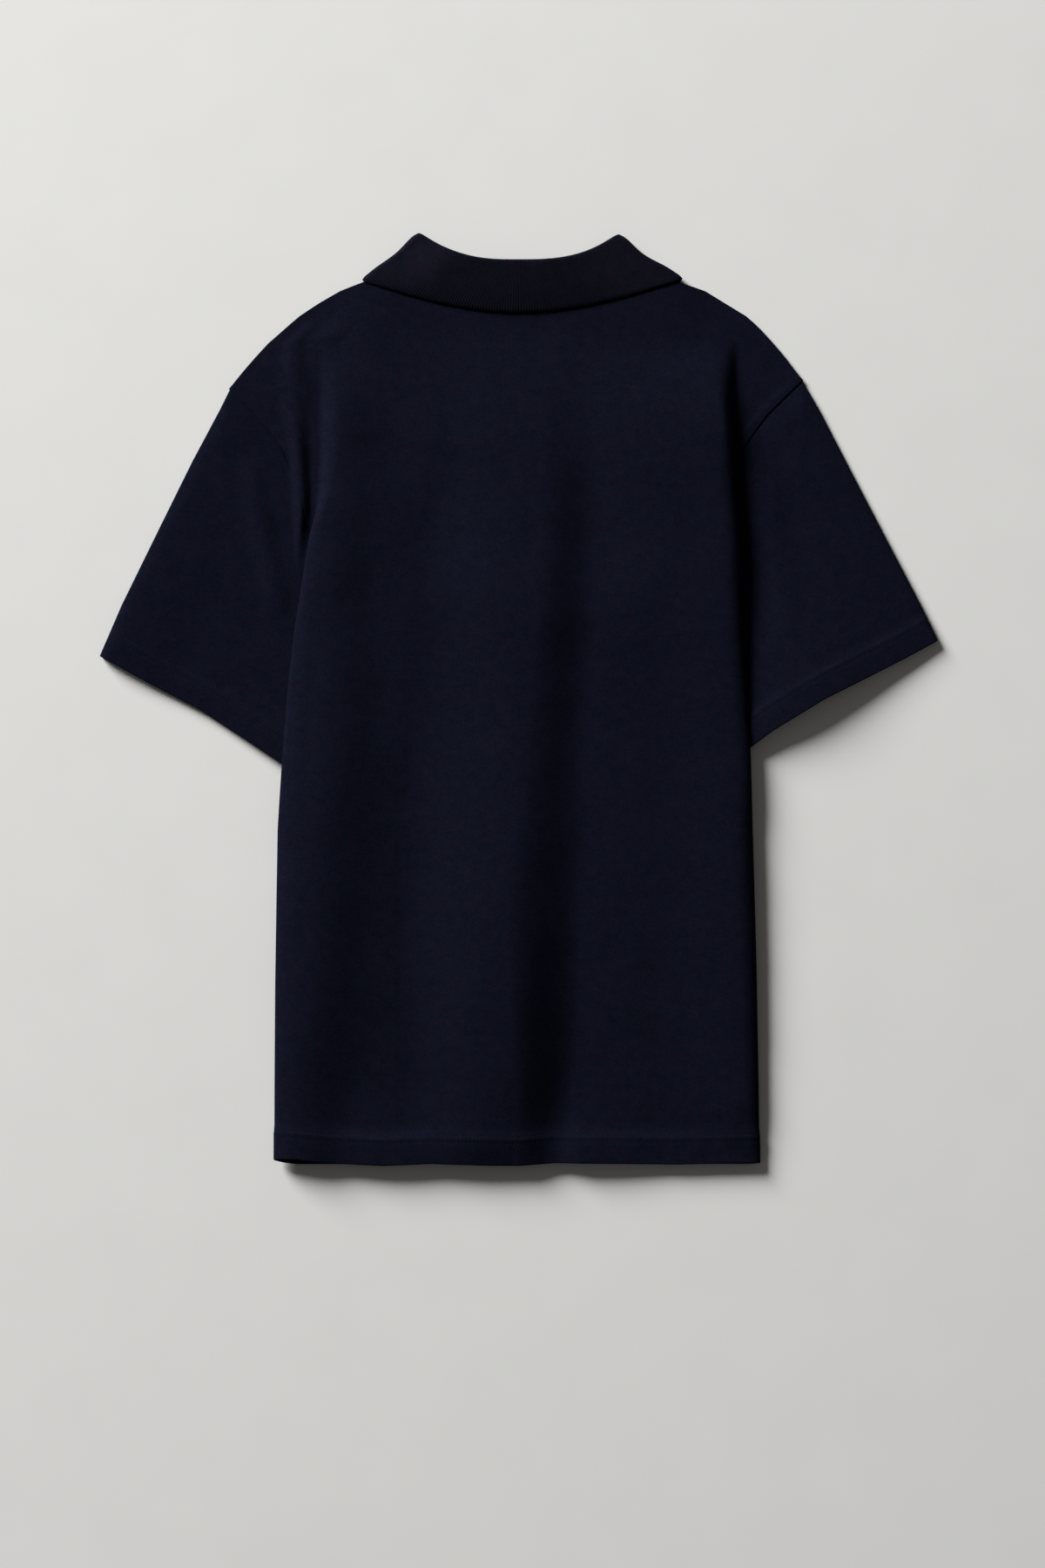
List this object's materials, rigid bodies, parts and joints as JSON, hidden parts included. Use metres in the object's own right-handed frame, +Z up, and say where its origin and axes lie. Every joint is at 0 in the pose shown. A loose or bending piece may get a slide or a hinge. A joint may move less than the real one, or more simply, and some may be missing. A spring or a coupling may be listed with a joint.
{
  "type": "polo shirt",
  "caption": "Short-sleeved polo shirt laid flat with its back up, both sides folded under, rib-knit collar turned down and plain turned hems.",
  "frame": {"origin": "on the surface that the shirt lies on, under the middle of its bounding box", "axes": "+Y from the hem to the neck, +Z up out of the back panel, +X towards the wearer's right sleeve"},
  "size_m": [0.6731, 0.7489, 0.0175],
  "materials": {
    "pique": "matte cotton pique knit, dark navy",
    "rib": "matte flat rib knit, dark navy",
    "button": "satin moulded plastic, dark navy"
  },
  "bodies": {
    "root": {"back": "pique", "front": "pique", "sleeve_left": "pique", "sleeve_right": "pique", "collar": "rib", "placket_over": "pique", "placket_under": "pique", "button_1": "button", "button_2": "button", "button_3": "button"}
  },
  "joints": []
}
